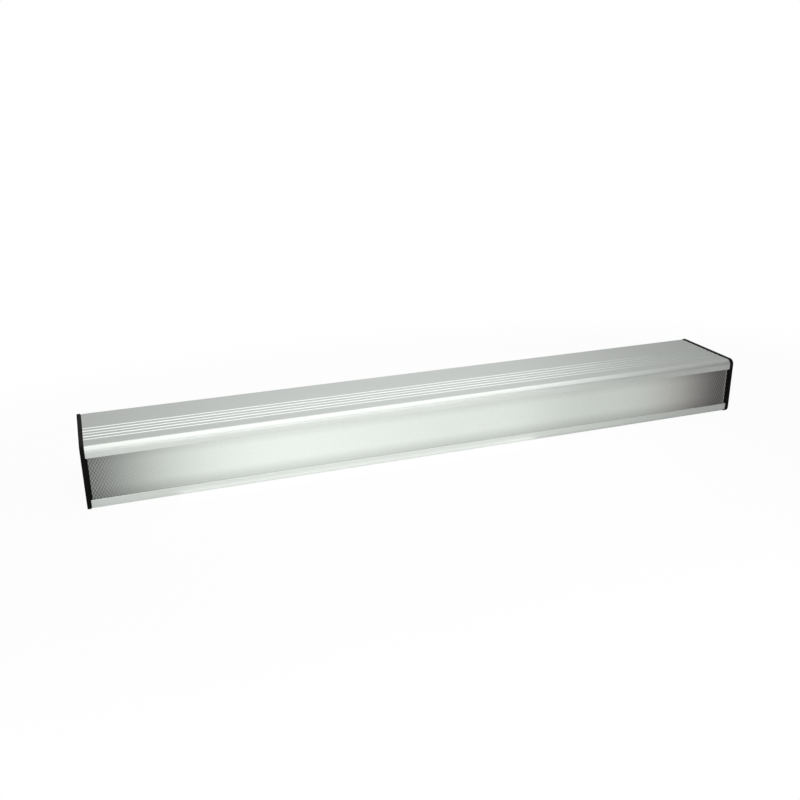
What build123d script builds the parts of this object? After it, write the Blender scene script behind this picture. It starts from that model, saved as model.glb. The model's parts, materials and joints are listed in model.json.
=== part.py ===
from build123d import *
import os

# LED linear light: an extruded aluminium housing with a long light window, closed by two moulded end caps.
# X runs along the light, the window faces -Y, the grooved face is +Z and the rear face is the mounting face.
# The origin is the middle of the rear face. Sizes are in millimetres.

# Overall sizes
overall_length = 600.0
housing_height = 52.5
housing_depth = 77.0

# Fits shared by several pieces
slip_gap = 0.3
thread_gap = 0.05
part_gap = 1.0

# Housing section
front_radius = 4.5
rear_radius = 1.5
skin = 2.2
lip_thickness = 1.2
upper_lip_height = 9.2
lower_lip_height = 8.4
fin_thickness = 1.5
web_thickness = 3.0
chamber_depth = 28.0
core_radius = 2.0
core_wall = 1.7
core_drop = 2.35

# Shallow lengthwise grooves on the top and bottom faces, narrow and wide ones in turn
groove_count = 5
groove_pitch = 6.0
groove_setback = 17.0
narrow_groove_width = 1.8
narrow_groove_depth = 0.6
wide_groove_width = 2.4
wide_groove_depth = 0.8

# T-slots in the rear face
slot_spacing = 22.0
slot_mouth = 6.4
slot_flange = 2.2
pocket_width = 10.5
pocket_depth = 5.0
slot_wall = 2.0

# End caps, gaskets and their screws
cap_thickness = 3.0
cap_proud = 0.5
cap_edge_round = 0.3
tongue_length = 1.1
tongue_recess = 0.2
plug_length = 5.0
plug_wall = 2.0
gasket_thickness = 0.5
gasket_inset = 0.3
gasket_band = 3.0
cap_screw_length = 14.0
cap_head_radius = 3.2
cap_head_height = 1.3
cap_seat_depth = 1.5
cap_socket_radius = 1.5
cap_socket_depth = 0.8

# Diffuser sheet, its seals and the reflectors behind it
diffuser_thickness = 3.0
diffuser_grip = 4.5
diffuser_end_gap = 0.3
seal_thickness = 1.0
reflector_thickness = 0.8

# LED boards, two end to end on the web
led_board_width = 24.0
led_board_thickness = 1.6
led_board_joint = 1.0
thermal_pad_thickness = 0.5
led_pitch = 10.0
led_end_margin = 13.0
led_length = 3.5
led_width = 2.8
led_height = 0.8
led_lens_radius = 1.1
led_lens_height = 0.3
board_screw_inset = 20.0
board_screw_edge = 3.2
link_length = 12.0
link_width = 7.0
link_height = 3.2
led_terminal_length = 7.0
led_terminal_width = 8.0
led_terminal_height = 4.4

# M3 screws of the boards
m3_radius = 1.45
m3_head_radius = 2.75
m3_head_height = 1.8
m3_slot_width = 0.7
m3_slot_depth = 0.8

# Driver board in the rear chamber, on standoffs
driver_length = 110.0
driver_side_gap = 4.5
driver_thickness = 1.6
driver_corner = 4.0
standoff_height = 6.0
standoff_radius = 3.0
driver_screw_length = 4.5
driver_wire_room = 34.0
output_poles = 2
terminal_pitch = 3.5
terminal_length = 8.0
terminal_height = 8.0
terminal_edge = 0.75
input_terminal_rise = 4.5
output_terminal_drop = 8.5
capacitor_radius = 5.0
capacitor_height = 10.0
capacitor_spacing = 11.5
capacitor_place = 18.0
inductor_side = 12.0
inductor_height = 7.0
inductor_rise = 9.5
inductor_place = 40.0
driver_stage_pitch = 24.0
chip_side = 6.0
chip_height = 1.4
chip_drop = 8.0
fuse_length = 10.0
fuse_width = 4.5
fuse_height = 4.0
fuse_setback = 14.0

# Wires and the grommet where the LED feed passes the web
wire_radius = 0.8
wire_bend = 4.0
wire_lead = 9.0
wire_entry = 4.5
grommet_hole_radius = 4.5
grommet_bore_radius = 2.9
grommet_flange_radius = 5.7
grommet_flange_thickness = 0.8

# M12 power inlet on the right end cap
inlet_thread_radius = 6.0
inlet_thread_length = 8.5
inlet_flange_band = 2.1
inlet_flange_thickness = 2.5
inlet_barrel_radius = 7.9
inlet_bore_radius = 4.3
inlet_socket_depth = 7.5
inlet_seal_thickness = 1.0
inlet_seal_band = 1.6
inlet_nut_wall = 1.6
inlet_nut_thickness = 3.0
inlet_tail = 1.2
pin_radius = 0.5
pin_circle_radius = 2.5
pin_length = 6.0
pin_tail = 2.5

# Slot nuts with leaf springs
nut_spacing = 300.0
nut_length = 20.0
nut_neck_recess = 0.4
nut_thread_radius = 2.1
nut_side_gap = 0.2
nut_face_gap = 0.15
spring_thickness = 0.3
spring_bow = 1.3
spring_length = 16.0
spring_width = 8.0
spring_hole_radius = 2.8

# Places along Y, from the light window at the front to the rear face
y_front = -housing_depth
y_lip = y_front + lip_thickness
y_diffuser = y_lip + diffuser_thickness
y_seal = y_diffuser + seal_thickness
y_fin = y_seal + fin_thickness
y_pocket = -slot_flange - pocket_depth
y_slot_block = y_pocket - slot_wall
y_web_rear = y_slot_block - chamber_depth
y_web_front = y_web_rear - web_thickness

# Places along Z, above the middle
z_top = housing_height / 2
z_ceiling = z_top - skin
z_window = z_top - upper_lip_height
z_sill = lower_lip_height - z_top
z_grip = z_window + diffuser_grip
z_core = z_ceiling - core_drop
z_slot = slot_spacing / 2
core_boss = core_radius + core_wall

# Screw core centres, as Y of the front pair and of the rear pair
y_core_front = y_fin + core_boss
y_core_rear = y_slot_block / 2
core_places = [(y, side * z_core) for y in (y_core_front, y_core_rear) for side in (1, -1)]

# Places along X, towards the right end
x_cap_out = overall_length / 2
x_cap_in = x_cap_out - cap_thickness
x_end = x_cap_in - gasket_thickness
x_tongue = x_end - tongue_length
x_grommet = x_end - plug_length - part_gap - grommet_flange_radius
x_board_end = x_grommet - grommet_flange_radius - part_gap
led_board_length = x_board_end - led_board_joint / 2

# Faces of the boards
y_pad = y_web_front - thermal_pad_thickness
y_board = y_pad - led_board_thickness
y_driver = y_web_rear + standoff_height
y_driver_top = y_driver + driver_thickness
x_driver_end = x_grommet - driver_wire_room
driver_width = 2 * (z_ceiling - driver_side_gap)
x_terminal = x_driver_end - part_gap


def block(x_span, y_span, z_span):
    """Rectangular block between two limits on each axis."""
    spans = (x_span, y_span, z_span)
    sizes = [high - low for low, high in spans]
    middles = [(low + high) / 2 for low, high in spans]
    return Pos(*middles) * Box(*sizes)


def rod_x(x_span, y, z, radius):
    """Round rod along X between two limits."""
    low, high = x_span
    return Pos((low + high) / 2, y, z) * Rot(0, 90, 0) * Cylinder(radius, high - low)


def rod_y(x, y_span, z, radius):
    """Round rod along Y between two limits."""
    low, high = y_span
    return Pos(x, (low + high) / 2, z) * Rot(90, 0, 0) * Cylinder(radius, high - low)


def patch(y_span, z_span):
    """Rectangle of the cross-section between limits along Y and Z."""
    y_low, y_high = y_span
    z_low, z_high = z_span
    return Pos((y_low + y_high) / 2, (z_low + z_high) / 2) * Rectangle(y_high - y_low, z_high - z_low)


def prism(section, x_span):
    """Cross-section drawn in Y and Z, carried along X."""
    low, high = x_span
    return extrude(Plane.YZ.offset(low) * section, amount=high - low, dir=(1, 0, 0))


def around(middle, size):
    """Limits of a size centred on a place."""
    return (middle - size / 2, middle + size / 2)


def outline(grow=0.0):
    """Rounded outline of the housing, pushed out by grow at the front, top and bottom but not at the rear."""
    depth = housing_depth + grow
    face = Pos(-depth / 2, 0) * Rectangle(depth, housing_height + 2 * grow)
    face = fillet(face.vertices().sort_by(Axis.X)[:2], front_radius + grow)
    return fillet(face.vertices().sort_by(Axis.X)[-2:], rear_radius)


def groove(index, side):
    """V-groove of the top (side 1) or bottom (side -1) face, counted from the front. Odd ones are wide."""
    y = y_front + groove_setback + index * groove_pitch
    half = (wide_groove_width if index % 2 else narrow_groove_width) / 2
    depth = wide_groove_depth if index % 2 else narrow_groove_depth
    corners = ((y - half, z_top), (y, z_top - depth), (y + half, z_top))
    return Polygon(*((across, side * up) for across, up in corners), align=None)


def housing_section():
    """Cross-section of the extrusion: lips and diffuser grooves, web, screw cores and T-slots."""
    section = outline()
    section -= patch((y_front, y_lip), (z_sill, z_window))
    section -= patch((y_lip, y_seal), (-z_grip, z_grip))
    section -= patch((y_seal, y_fin), (-z_window, z_window))
    section -= patch((y_fin, y_web_front), (-z_ceiling, z_ceiling))
    section -= patch((y_web_rear, y_slot_block), (-z_ceiling, z_ceiling))
    z_relief = z_slot - pocket_width / 2 - slot_wall
    section -= patch((y_slot_block, -slot_flange), (-z_relief, z_relief))
    for side in (1, -1):
        z_span = sorted((side * (z_core - core_boss), side * (z_ceiling + skin / 2)))
        section += patch((y_fin - fin_thickness / 2, y_core_front + core_boss), z_span)
        section -= patch((y_pocket, -slot_flange), around(side * z_slot, pocket_width))
        section -= patch((y_pocket, 0.0), around(side * z_slot, slot_mouth))
        for index in range(groove_count):
            section -= groove(index, side)
    for y, z in core_places:
        section -= Pos(y, z) * Circle(core_radius)
    return section


def board_screw_places():
    """X and Z of the screws that hold the two LED boards."""
    x_middle = (led_board_joint + led_board_length) / 2
    x_offset = led_board_length / 2 - board_screw_inset
    z = led_board_width / 2 - board_screw_edge
    return [
        (board * x_middle + end * x_offset, side * z)
        for board in (1, -1)
        for end in (1, -1)
        for side in (1, -1)
    ]


def driver_corner_places():
    """X and Z of the standoffs under the corners of the driver board."""
    z = driver_width / 2 - driver_corner
    ends = (x_driver_end - driver_corner, x_driver_end - driver_length + driver_corner)
    return [(x, side * z) for x in ends for side in (1, -1)]


def housing_profile():
    """Extruded housing with the holes drilled in its web."""
    housing = prism(housing_section(), (-x_end, x_end))
    web = (y_web_front, y_web_rear)
    for x, z in board_screw_places() + driver_corner_places():
        housing -= rod_y(x, web, z, m3_radius + thread_gap)
    return housing - rod_y(x_grommet, web, 0.0, grommet_hole_radius)


def cap_plug():
    """Locating frame of an end cap, which enters the rear chamber."""
    z_plug = z_ceiling - slip_gap
    y_low = y_web_rear + slip_gap
    y_high = y_slot_block - slip_gap
    frame = patch((y_low, y_high), (-z_plug, z_plug))
    frame -= patch((y_low + plug_wall, y_high - plug_wall), (plug_wall - z_plug, z_plug - plug_wall))
    return prism(frame, (x_end - plug_length, x_cap_in))


def right_cap():
    """Moulded cap with the tongue that closes the end of the window and the seats of its four screws."""
    cap = prism(outline(cap_proud), (x_cap_in, x_cap_out))
    cap = fillet(cap.faces().sort_by(Axis.X)[-1].edges(), cap_edge_round)
    z_tongue = (z_sill + slip_gap, z_window - slip_gap)
    cap += block((x_tongue, x_cap_in), (y_front + tongue_recess, y_seal - slip_gap), z_tongue)
    cap += cap_plug()
    for y, z in core_places:
        cap -= rod_x((x_cap_in, x_cap_out), y, z, core_radius + slip_gap)
        cap -= rod_x((x_cap_out - cap_seat_depth, x_cap_out), y, z, cap_head_radius + slip_gap)
    return cap


def right_gasket():
    """Flat gasket between a cap and the end of the housing, open around the tongue and at both chambers."""
    sheet = outline(-gasket_inset)
    sheet -= patch((y_front, y_seal), (z_sill, z_window))
    sheet -= patch((y_fin + gasket_band, y_web_front), (-z_window, z_window))
    sheet -= patch((y_web_rear, y_slot_block), (-z_ceiling, z_ceiling))
    for y, z in core_places:
        sheet -= Pos(y, z) * Circle(core_radius + slip_gap)
    return prism(sheet, (x_end, x_cap_in))


def right_cap_screws():
    """Four socket screws that hold a cap, cut into the cores of the housing."""
    x_seat = x_cap_out - cap_seat_depth
    x_head = x_seat + cap_head_height
    screws = []
    for y, z in core_places:
        screw = rod_x((x_seat - cap_screw_length, x_seat), y, z, core_radius - thread_gap)
        screw += rod_x((x_seat, x_head), y, z, cap_head_radius)
        socket = Plane.YZ.offset(x_head - cap_socket_depth) * Pos(y, z) * RegularPolygon(cap_socket_radius, 6)
        screws.append(screw - extrude(socket, amount=cap_socket_depth))
    return screws


def left(shape):
    """Mirror image for the left end."""
    return mirror(shape, about=Plane.YZ)


def diffuser():
    """Prismatic sheet held in the grooves behind the lips."""
    x_half = x_tongue - diffuser_end_gap
    z_half = z_grip - slip_gap
    return block((-x_half, x_half), (y_lip, y_diffuser), (-z_half, z_half))


def diffuser_seal(side):
    """Rubber strip that presses the upper (1) or lower (-1) edge of the sheet against its lip."""
    x_half = x_tongue - diffuser_end_gap
    z_span = sorted((side * (z_window + slip_gap), side * (z_grip - slip_gap)))
    return block((-x_half, x_half), (y_diffuser, y_seal), z_span)


def reflector(side):
    """White strip from beside the LED boards to the fin behind the upper (1) or lower (-1) lip."""
    z_foot = led_board_width / 2 + slip_gap
    z_front = z_core - core_boss - slip_gap - reflector_thickness
    y_foot = y_web_front - slip_gap
    y_tip = y_fin + slip_gap
    strip = Polygon(
        (y_foot, side * z_foot),
        (y_tip, side * z_front),
        (y_tip, side * (z_front + reflector_thickness)),
        (y_foot, side * (z_foot + reflector_thickness)),
        align=None,
    )
    x_half = x_end - slip_gap
    return prism(strip, (-x_half, x_half))


def led_board_span(board):
    """X limits of the right (1) or left (-1) LED board."""
    return sorted((board * led_board_joint / 2, board * x_board_end))


def board_sheet(board, y_span):
    """Sheet with the outline and screw holes of an LED board."""
    sheet = block(led_board_span(board), y_span, around(0.0, led_board_width))
    for x, z in board_screw_places():
        if x * board > 0:
            sheet -= rod_y(x, y_span, z, m3_radius + thread_gap)
    return sheet


def leds(board):
    """Row of LED packages with domed lenses on one board."""
    low, high = led_board_span(board)
    count = int((led_board_length - 2 * led_end_margin) // led_pitch) + 1
    x_first = (low + high) / 2 - (count - 1) * led_pitch / 2
    row = []
    for index in range(count):
        x = x_first + index * led_pitch
        led = block(around(x, led_length), (y_board - led_height, y_board), around(0.0, led_width))
        y_lens = y_board - led_height
        row.append(led + rod_y(x, (y_lens - led_lens_height, y_lens), 0.0, led_lens_radius))
    return row


def slotted_screw(x, z, y_seat, inward, length):
    """M3 slotted screw seated at y_seat, with its shank running the inward way along Y."""
    y_tip = y_seat + inward * length
    y_head = y_seat - inward * m3_head_height
    screw = rod_y(x, sorted((y_seat, y_tip)), z, m3_radius)
    screw += rod_y(x, sorted((y_head, y_seat)), z, m3_head_radius)
    y_slot = y_head + inward * m3_slot_depth
    return screw - block(around(x, 2 * m3_head_radius), sorted((y_head, y_slot)), around(z, m3_slot_width))


def led_board_screws():
    """Screws that clamp the LED boards to the web."""
    length = led_board_thickness + thermal_pad_thickness + web_thickness
    return [slotted_screw(x, z, y_board, 1, length) for x, z in board_screw_places()]


def board_link():
    """Plug-in link that carries the current across the joint of the boards."""
    return block(around(0.0, link_length), (y_board - link_height, y_board), around(0.0, link_width))


def led_terminal():
    """Terminal at the right end of the right board, with two wire openings."""
    x_face = x_board_end - part_gap
    y_span = (y_board - led_terminal_height, y_board)
    body = block((x_face - led_terminal_length, x_face), y_span, around(0.0, led_terminal_width))
    for side in (1, -1):
        z = side * terminal_pitch / 2
        body -= rod_x((x_face - wire_entry, x_face), sum(y_span) / 2, z, wire_radius + thread_gap)
    return body


def driver_board():
    """Driver circuit board with its four screw holes."""
    x_span = (x_driver_end - driver_length, x_driver_end)
    board = block(x_span, (y_driver, y_driver_top), around(0.0, driver_width))
    for x, z in driver_corner_places():
        board -= rod_y(x, (y_driver, y_driver_top), z, m3_radius + thread_gap)
    return board


def standoffs():
    """Round spacers with a stud that enters the web and a threaded bore for the driver screw."""
    spacers = []
    for x, z in driver_corner_places():
        spacer = rod_y(x, (y_web_rear, y_driver), z, standoff_radius)
        spacer += rod_y(x, (y_web_front + slip_gap, y_web_rear), z, m3_radius)
        bore = (y_driver_top - driver_screw_length - slip_gap, y_driver)
        spacers.append(spacer - rod_y(x, bore, z, m3_radius + thread_gap))
    return spacers


def driver_screws():
    """Screws that hold the driver board on its standoffs."""
    return [slotted_screw(x, z, y_driver_top, -1, driver_screw_length) for x, z in driver_corner_places()]


def terminal_poles(count, z_middle):
    """Z of each pole of a driver terminal."""
    first = z_middle + (count - 1) * terminal_pitch / 2
    return [first - index * terminal_pitch for index in range(count)]


def driver_terminal(count, z_middle):
    """Terminal on the driver board, with one wire opening per pole in its end face."""
    y_span = (y_driver_top, y_driver_top + terminal_height)
    z_span = around(z_middle, count * terminal_pitch + 2 * terminal_edge)
    body = block((x_terminal - terminal_length, x_terminal), y_span, z_span)
    for z in terminal_poles(count, z_middle):
        body -= rod_x((x_terminal - wire_entry, x_terminal), sum(y_span) / 2, z, wire_radius + thread_gap)
    return body


def driver_capacitors():
    """Row of round electrolytic capacitors."""
    x = x_terminal - capacitor_place
    y_span = (y_driver_top, y_driver_top + capacitor_height)
    return [rod_y(x, y_span, index * capacitor_spacing, capacitor_radius) for index in (-1, 0, 1)]


def driver_stage(side_size, height, z):
    """One square component on each of the two converter stages."""
    y_span = (y_driver_top, y_driver_top + height)
    middles = [x_terminal - inductor_place - index * driver_stage_pitch for index in (0, 1)]
    return [block(around(x, side_size), y_span, around(z, side_size)) for x in middles]


def driver_fuse():
    """Fuse in its holder across the driver board."""
    y_span = (y_driver_top, y_driver_top + fuse_height)
    x = x_driver_end - driver_length + fuse_setback
    return block(around(x, fuse_width), y_span, around(0.0, fuse_length))


def wire(points):
    """Insulated wire through the given points, with rounded bends."""
    path = FilletPolyline(*points, radius=wire_bend)
    return sweep(Plane(path @ 0, z_dir=path % 0) * Circle(wire_radius), path=path)


def grommet():
    """Rubber bush in the web, with a flange on each face."""
    neck = (y_web_front - grommet_flange_thickness, y_web_rear + grommet_flange_thickness)
    bush = rod_y(x_grommet, neck, 0.0, grommet_hole_radius)
    bush += rod_y(x_grommet, (neck[0], y_web_front), 0.0, grommet_flange_radius)
    bush += rod_y(x_grommet, (y_web_rear, neck[1]), 0.0, grommet_flange_radius)
    return bush - rod_y(x_grommet, neck, 0.0, grommet_bore_radius)


# Places of the inlet on the right cap, in the middle of the rear chamber
y_inlet = (y_web_rear + y_slot_block) / 2
x_inlet_flange = x_cap_out + inlet_seal_thickness
x_inlet_face = x_inlet_flange + inlet_flange_thickness
x_inlet_mouth = x_inlet_face + inlet_thread_length
x_inlet_rear = x_cap_in - inlet_nut_thickness - inlet_tail
x_insert = x_inlet_mouth - inlet_socket_depth
x_pin_rear = x_inlet_rear - pin_tail
pin_offset = pin_circle_radius / 2 ** 0.5
pin_places = [(y_inlet + y * pin_offset, z * pin_offset) for y, z in ((-1, 1), (1, 1), (1, -1), (-1, -1))]


def inlet_shell():
    """Metal shell: threaded end outside, flange, and the threaded barrel that passes the cap."""
    shell = rod_x((x_inlet_rear, x_inlet_flange), y_inlet, 0.0, inlet_barrel_radius)
    shell += rod_x((x_inlet_flange, x_inlet_face), y_inlet, 0.0, inlet_barrel_radius + inlet_flange_band)
    shell += rod_x((x_inlet_face, x_inlet_mouth), y_inlet, 0.0, inlet_thread_radius)
    return shell - rod_x((x_inlet_rear, x_inlet_mouth), y_inlet, 0.0, inlet_bore_radius)


def inlet_insert():
    """Plastic insert that carries the contact pins."""
    insert = rod_x((x_inlet_rear, x_insert), y_inlet, 0.0, inlet_bore_radius - thread_gap)
    for y, z in pin_places:
        insert -= rod_x((x_inlet_rear, x_insert), y, z, pin_radius + thread_gap)
    return insert


def inlet_pins():
    """Four contact pins through the insert."""
    return [rod_x((x_pin_rear, x_insert + pin_length), y, z, pin_radius) for y, z in pin_places]


def inlet_seal():
    """Flat seal between the inlet flange and the cap."""
    span = (x_cap_out, x_inlet_flange)
    bore_radius = inlet_barrel_radius + slip_gap
    ring = rod_x(span, y_inlet, 0.0, bore_radius + inlet_seal_band)
    return ring - rod_x(span, y_inlet, 0.0, bore_radius)


def inlet_nut():
    """Hexagonal lock nut on the barrel, inside the cap."""
    x_low = x_cap_in - inlet_nut_thickness
    thread_radius = inlet_barrel_radius + thread_gap
    hexagon = RegularPolygon(thread_radius + inlet_nut_wall, 6, major_radius=False, rotation=30)
    hexagon = Pos(y_inlet, 0.0) * (hexagon - Circle(thread_radius))
    return prism(hexagon, (x_low, x_cap_in))


def supply_wires():
    """Four wires from the inlet pins to the input terminal."""
    y_pole = y_driver_top + terminal_height / 2
    wires = []
    for (y, z), z_pole in zip(pin_places, terminal_poles(len(pin_places), input_terminal_rise)):
        start = (x_pin_rear, y, z)
        end = (x_terminal - wire_entry, y_pole, z_pole)
        bends = [(x_pin_rear - wire_lead, y, z), (x_terminal + wire_lead, y_pole, z_pole)]
        wires.append(wire([start, *bends, end]))
    return wires


def led_wires():
    """Two wires from the output terminal, through the grommet, to the terminal of the right LED board."""
    y_pole = y_driver_top + terminal_height / 2
    y_led = y_board - led_terminal_height / 2
    wires = []
    for side, z_pole in zip((1, -1), terminal_poles(output_poles, -output_terminal_drop)):
        z_feed = side * terminal_pitch / 2
        wires.append(wire([
            (x_terminal - wire_entry, y_pole, z_pole),
            (x_terminal + wire_lead, y_pole, z_pole),
            (x_grommet, y_web_rear + wire_lead, z_feed),
            (x_grommet, y_led, z_feed),
            (x_board_end - part_gap - wire_entry, y_led, z_feed),
        ]))
    return wires


# Faces of a slot nut, which lies behind the slot flanges with its neck in the mouth
y_nut_neck = -nut_neck_recess
y_nut_face = -slot_flange - nut_face_gap
y_nut_rear = y_pocket + nut_face_gap + spring_bow


def slot_nut(end, side):
    """Slot nut in the upper (1) or lower (-1) slot, on the right (1) or left (-1) half."""
    x = end * nut_spacing / 2
    z = side * z_slot
    base = block(around(x, nut_length), (y_nut_rear, y_nut_face), around(z, pocket_width - 2 * nut_side_gap))
    neck = block(around(x, nut_length), (y_nut_face, y_nut_neck), around(z, slot_mouth - 2 * nut_side_gap))
    return base + neck - rod_y(x, (y_nut_rear, y_nut_neck), z, nut_thread_radius)


def nut_spring(end, side):
    """Bowed leaf spring between a slot nut and the floor of its pocket."""
    x = end * nut_spacing / 2
    half = spring_length / 2
    y_crest = y_nut_rear - spring_bow
    y_tip = y_nut_rear - spring_thickness
    outer = ThreePointArc((x - half, y_tip), (x, y_crest), (x + half, y_tip))
    inner = ThreePointArc((x + half, y_nut_rear), (x, y_crest + spring_thickness), (x - half, y_nut_rear))
    ends = [Line(outer @ 1, inner @ 0), Line(inner @ 1, outer @ 0)]
    bow = extrude(make_face([outer, ends[0], inner, ends[1]]), amount=spring_width, dir=(0, 0, 1))
    leaf = Pos(0, 0, side * z_slot - spring_width / 2) * bow
    return leaf - rod_y(x, (y_pocket, y_nut_rear), side * z_slot, spring_hole_radius)


def nodes():
    """Every piece of the light by its node name. A list is a group of separate pieces of one kind."""
    cap = right_cap()
    gasket = right_gasket()
    screws = right_cap_screws()
    inlet_hole = rod_x((x_cap_in, x_cap_out), y_inlet, 0.0, inlet_barrel_radius + slip_gap)
    pieces = {
        "housing_profile": housing_profile(),
        "end_cap_right": cap - inlet_hole,
        "end_cap_left": left(cap),
        "end_gasket_right": gasket,
        "end_gasket_left": left(gasket),
        "end_cap_screws_right": screws,
        "end_cap_screws_left": [left(screw) for screw in screws],
        "diffuser": diffuser(),
        "diffuser_seal_upper": diffuser_seal(1),
        "diffuser_seal_lower": diffuser_seal(-1),
        "reflector_upper": reflector(1),
        "reflector_lower": reflector(-1),
        "led_board_screws": led_board_screws(),
        "board_link": board_link(),
        "led_terminal": led_terminal(),
        "driver_board": driver_board(),
        "driver_standoffs": standoffs(),
        "driver_screws": driver_screws(),
        "input_terminal": driver_terminal(len(pin_places), input_terminal_rise),
        "output_terminal": driver_terminal(output_poles, -output_terminal_drop),
        "driver_capacitors": driver_capacitors(),
        "driver_inductors": driver_stage(inductor_side, inductor_height, inductor_rise),
        "driver_chips": driver_stage(chip_side, chip_height, -chip_drop),
        "driver_fuse": driver_fuse(),
        "wire_grommet": grommet(),
        "inlet_shell": inlet_shell(),
        "inlet_insert": inlet_insert(),
        "inlet_pins": inlet_pins(),
        "inlet_seal": inlet_seal(),
        "inlet_nut": inlet_nut(),
    }
    for board, name in ((-1, "left"), (1, "right")):
        pieces["led_board_" + name] = board_sheet(board, (y_board, y_pad))
        pieces["thermal_pad_" + name] = board_sheet(board, (y_pad, y_web_front))
        pieces["leds_" + name] = leds(board)
    for name, piece in zip(("brown", "white", "blue", "black"), supply_wires()):
        pieces["supply_wire_" + name] = piece
    for name, piece in zip(("positive", "negative"), led_wires()):
        pieces["led_wire_" + name] = piece
    for side, row in ((1, "upper"), (-1, "lower")):
        for end, half in ((-1, "left"), (1, "right")):
            pieces[f"slot_nut_{row}_{half}"] = slot_nut(end, side)
            pieces[f"nut_spring_{row}_{half}"] = nut_spring(end, side)
    return pieces


os.makedirs("parts", exist_ok=True)
for name, piece in nodes().items():
    shape = Compound(children=piece) if isinstance(piece, list) else piece
    export_step(shape, f"parts/{name}.step")
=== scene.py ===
import json
import math

import bpy
import numpy as np
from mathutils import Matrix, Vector
from mathutils.geometry import tessellate_polygon


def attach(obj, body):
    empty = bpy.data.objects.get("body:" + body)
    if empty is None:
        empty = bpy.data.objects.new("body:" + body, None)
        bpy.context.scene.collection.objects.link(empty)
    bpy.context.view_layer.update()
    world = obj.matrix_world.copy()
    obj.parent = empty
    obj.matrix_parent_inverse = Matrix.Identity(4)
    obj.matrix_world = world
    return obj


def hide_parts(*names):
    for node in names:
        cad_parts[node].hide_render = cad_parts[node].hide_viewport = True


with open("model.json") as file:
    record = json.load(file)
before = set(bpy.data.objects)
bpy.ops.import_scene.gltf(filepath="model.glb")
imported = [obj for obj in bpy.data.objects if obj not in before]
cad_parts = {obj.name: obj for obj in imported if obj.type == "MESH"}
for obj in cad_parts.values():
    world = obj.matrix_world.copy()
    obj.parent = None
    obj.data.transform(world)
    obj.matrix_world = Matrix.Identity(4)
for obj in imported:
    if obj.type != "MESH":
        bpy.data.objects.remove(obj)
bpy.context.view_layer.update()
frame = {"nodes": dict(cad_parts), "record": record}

# LED linear light. X runs along the light, the window faces -Y, the grooved face is +Z and the origin is
# the middle of the rear face. Sizes are in millimetres, as in the solids, and the meshes are in metres.

MM = 0.001

# Digits of a metre to which points are welded, and the millimetres within which places count as level
WELD_DIGITS = 7
LEVEL = 1e-6

# Places along the light, from its middle
x_end = 296.5
x_tongue = 295.4
x_sheet = 295.1
x_cap_in = 297.0
x_cap_out = 300.0
x_nut = 150.0

# Places from the window at the front to the rear face
y_front = -77.0
y_lip = -75.8
y_sheet_back = -72.8
y_seal = -71.8
y_fin = -70.3
y_boss = -62.9
y_web_front = -40.2
y_web_rear = -37.2
y_inlet = -23.2
y_slot_block = -9.2
y_pocket = -7.2
y_flange = -2.2

# Places above the middle
z_top = 26.25
z_ceiling = 24.05
z_grip = 21.55
z_sheet = 21.25
z_boss = 18.0
z_window = 17.05
z_sill = -17.85
z_slot = 11.0
z_relief = 3.75
mouth_half = 3.2
pocket_half = 5.25

# Small roundings, and the gap round pieces that slide into others
fine_edge = 0.15
crisp_edge = 0.2
soft_edge = 0.3
lip_edge = 0.35
pocket_corner = 0.4
wall_corner = 0.5
slip_gap = 0.3

# Grooves of the top and bottom faces, from the front
groove_pitch = 6.0
groove_setback = 17.0
groove_half = np.array([0.9, 1.2, 0.9, 1.2, 0.9])
groove_depth = np.array([0.6, 0.8, 0.6, 0.8, 0.6])

# Screw cores, as rows of (Y, Z), and the holes drilled in the web, as rows of (Z, X, radius)
core_places = np.array([(y, z) for y in (-66.6, -4.6) for z in (21.7, -21.7)])
core_radius = 2.0
drill_radius = 1.5
board_holes = [(z, x, drill_radius) for x in (-258.1, -20.5, 20.5, 258.1) for z in (-8.8, 8.8)]
standoff_holes = [(z, x, drill_radius) for x in (144.8, 246.8) for z in (-15.55, 15.55)]
grommet_hole = (0.0, 284.8, 4.5)
web_holes = board_holes + standoff_holes + [grommet_hole]

# Prisms of the sheet: half prisms along it, and thirds of the rows up it
sheet_columns = 482
sheet_rows = 61
prism_depth = 0.32

# End caps
cap_proud = 0.5
cap_edge = 0.3
cap_inner_edge = 0.2
front_radius = 4.5
rear_radius = 1.5
tongue_recess = 0.2
tongue_edge = 0.35
tongue_corner = 0.5
plug_length = 5.0
plug_wall = 2.0
plug_corner = 1.0
plug_inner_corner = 0.6
seat_depth = 1.5
seat_radius = 3.5
seat_bevel = 0.2
screw_hole = 2.3
inlet_hole = 8.2


def unit(rows):
    """Vectors scaled to length one."""
    return rows / np.linalg.norm(rows, axis=-1, keepdims=True)


def rounded(corners, steps=8):
    """Closed outline through corner rows of (across, up, radius), each corner an arc tangent to both its
    sides. With h half the angle between the sides, the arc's centre lies radius / sin(h) along their
    bisector, it touches the sides radius / tan(h) from the corner, and its points turn evenly through
    180 degrees - 2 h."""
    corners = np.asarray(corners, float)
    points, radius = corners[:, :2], corners[:, 2:]
    back = unit(np.roll(points, 1, 0) - points)
    ahead = unit(np.roll(points, -1, 0) - points)
    half = np.arccos(np.clip((back * ahead).sum(1, keepdims=True), -1, 1)) / 2
    centre = (points + unit(back + ahead) * radius / np.sin(half))[:, None]
    first = (points + back * radius / np.tan(half))[:, None] - centre
    last = (points + ahead * radius / np.tan(half))[:, None] - centre
    turn = (math.pi - 2 * half)[:, None]
    share = np.linspace(0, 1, steps + 1)[None, :, None]
    arc = (np.sin((1 - share) * turn) * first + np.sin(share * turn) * last) / np.sin(turn)
    return (centre + arc).reshape(-1, 2)


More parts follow.
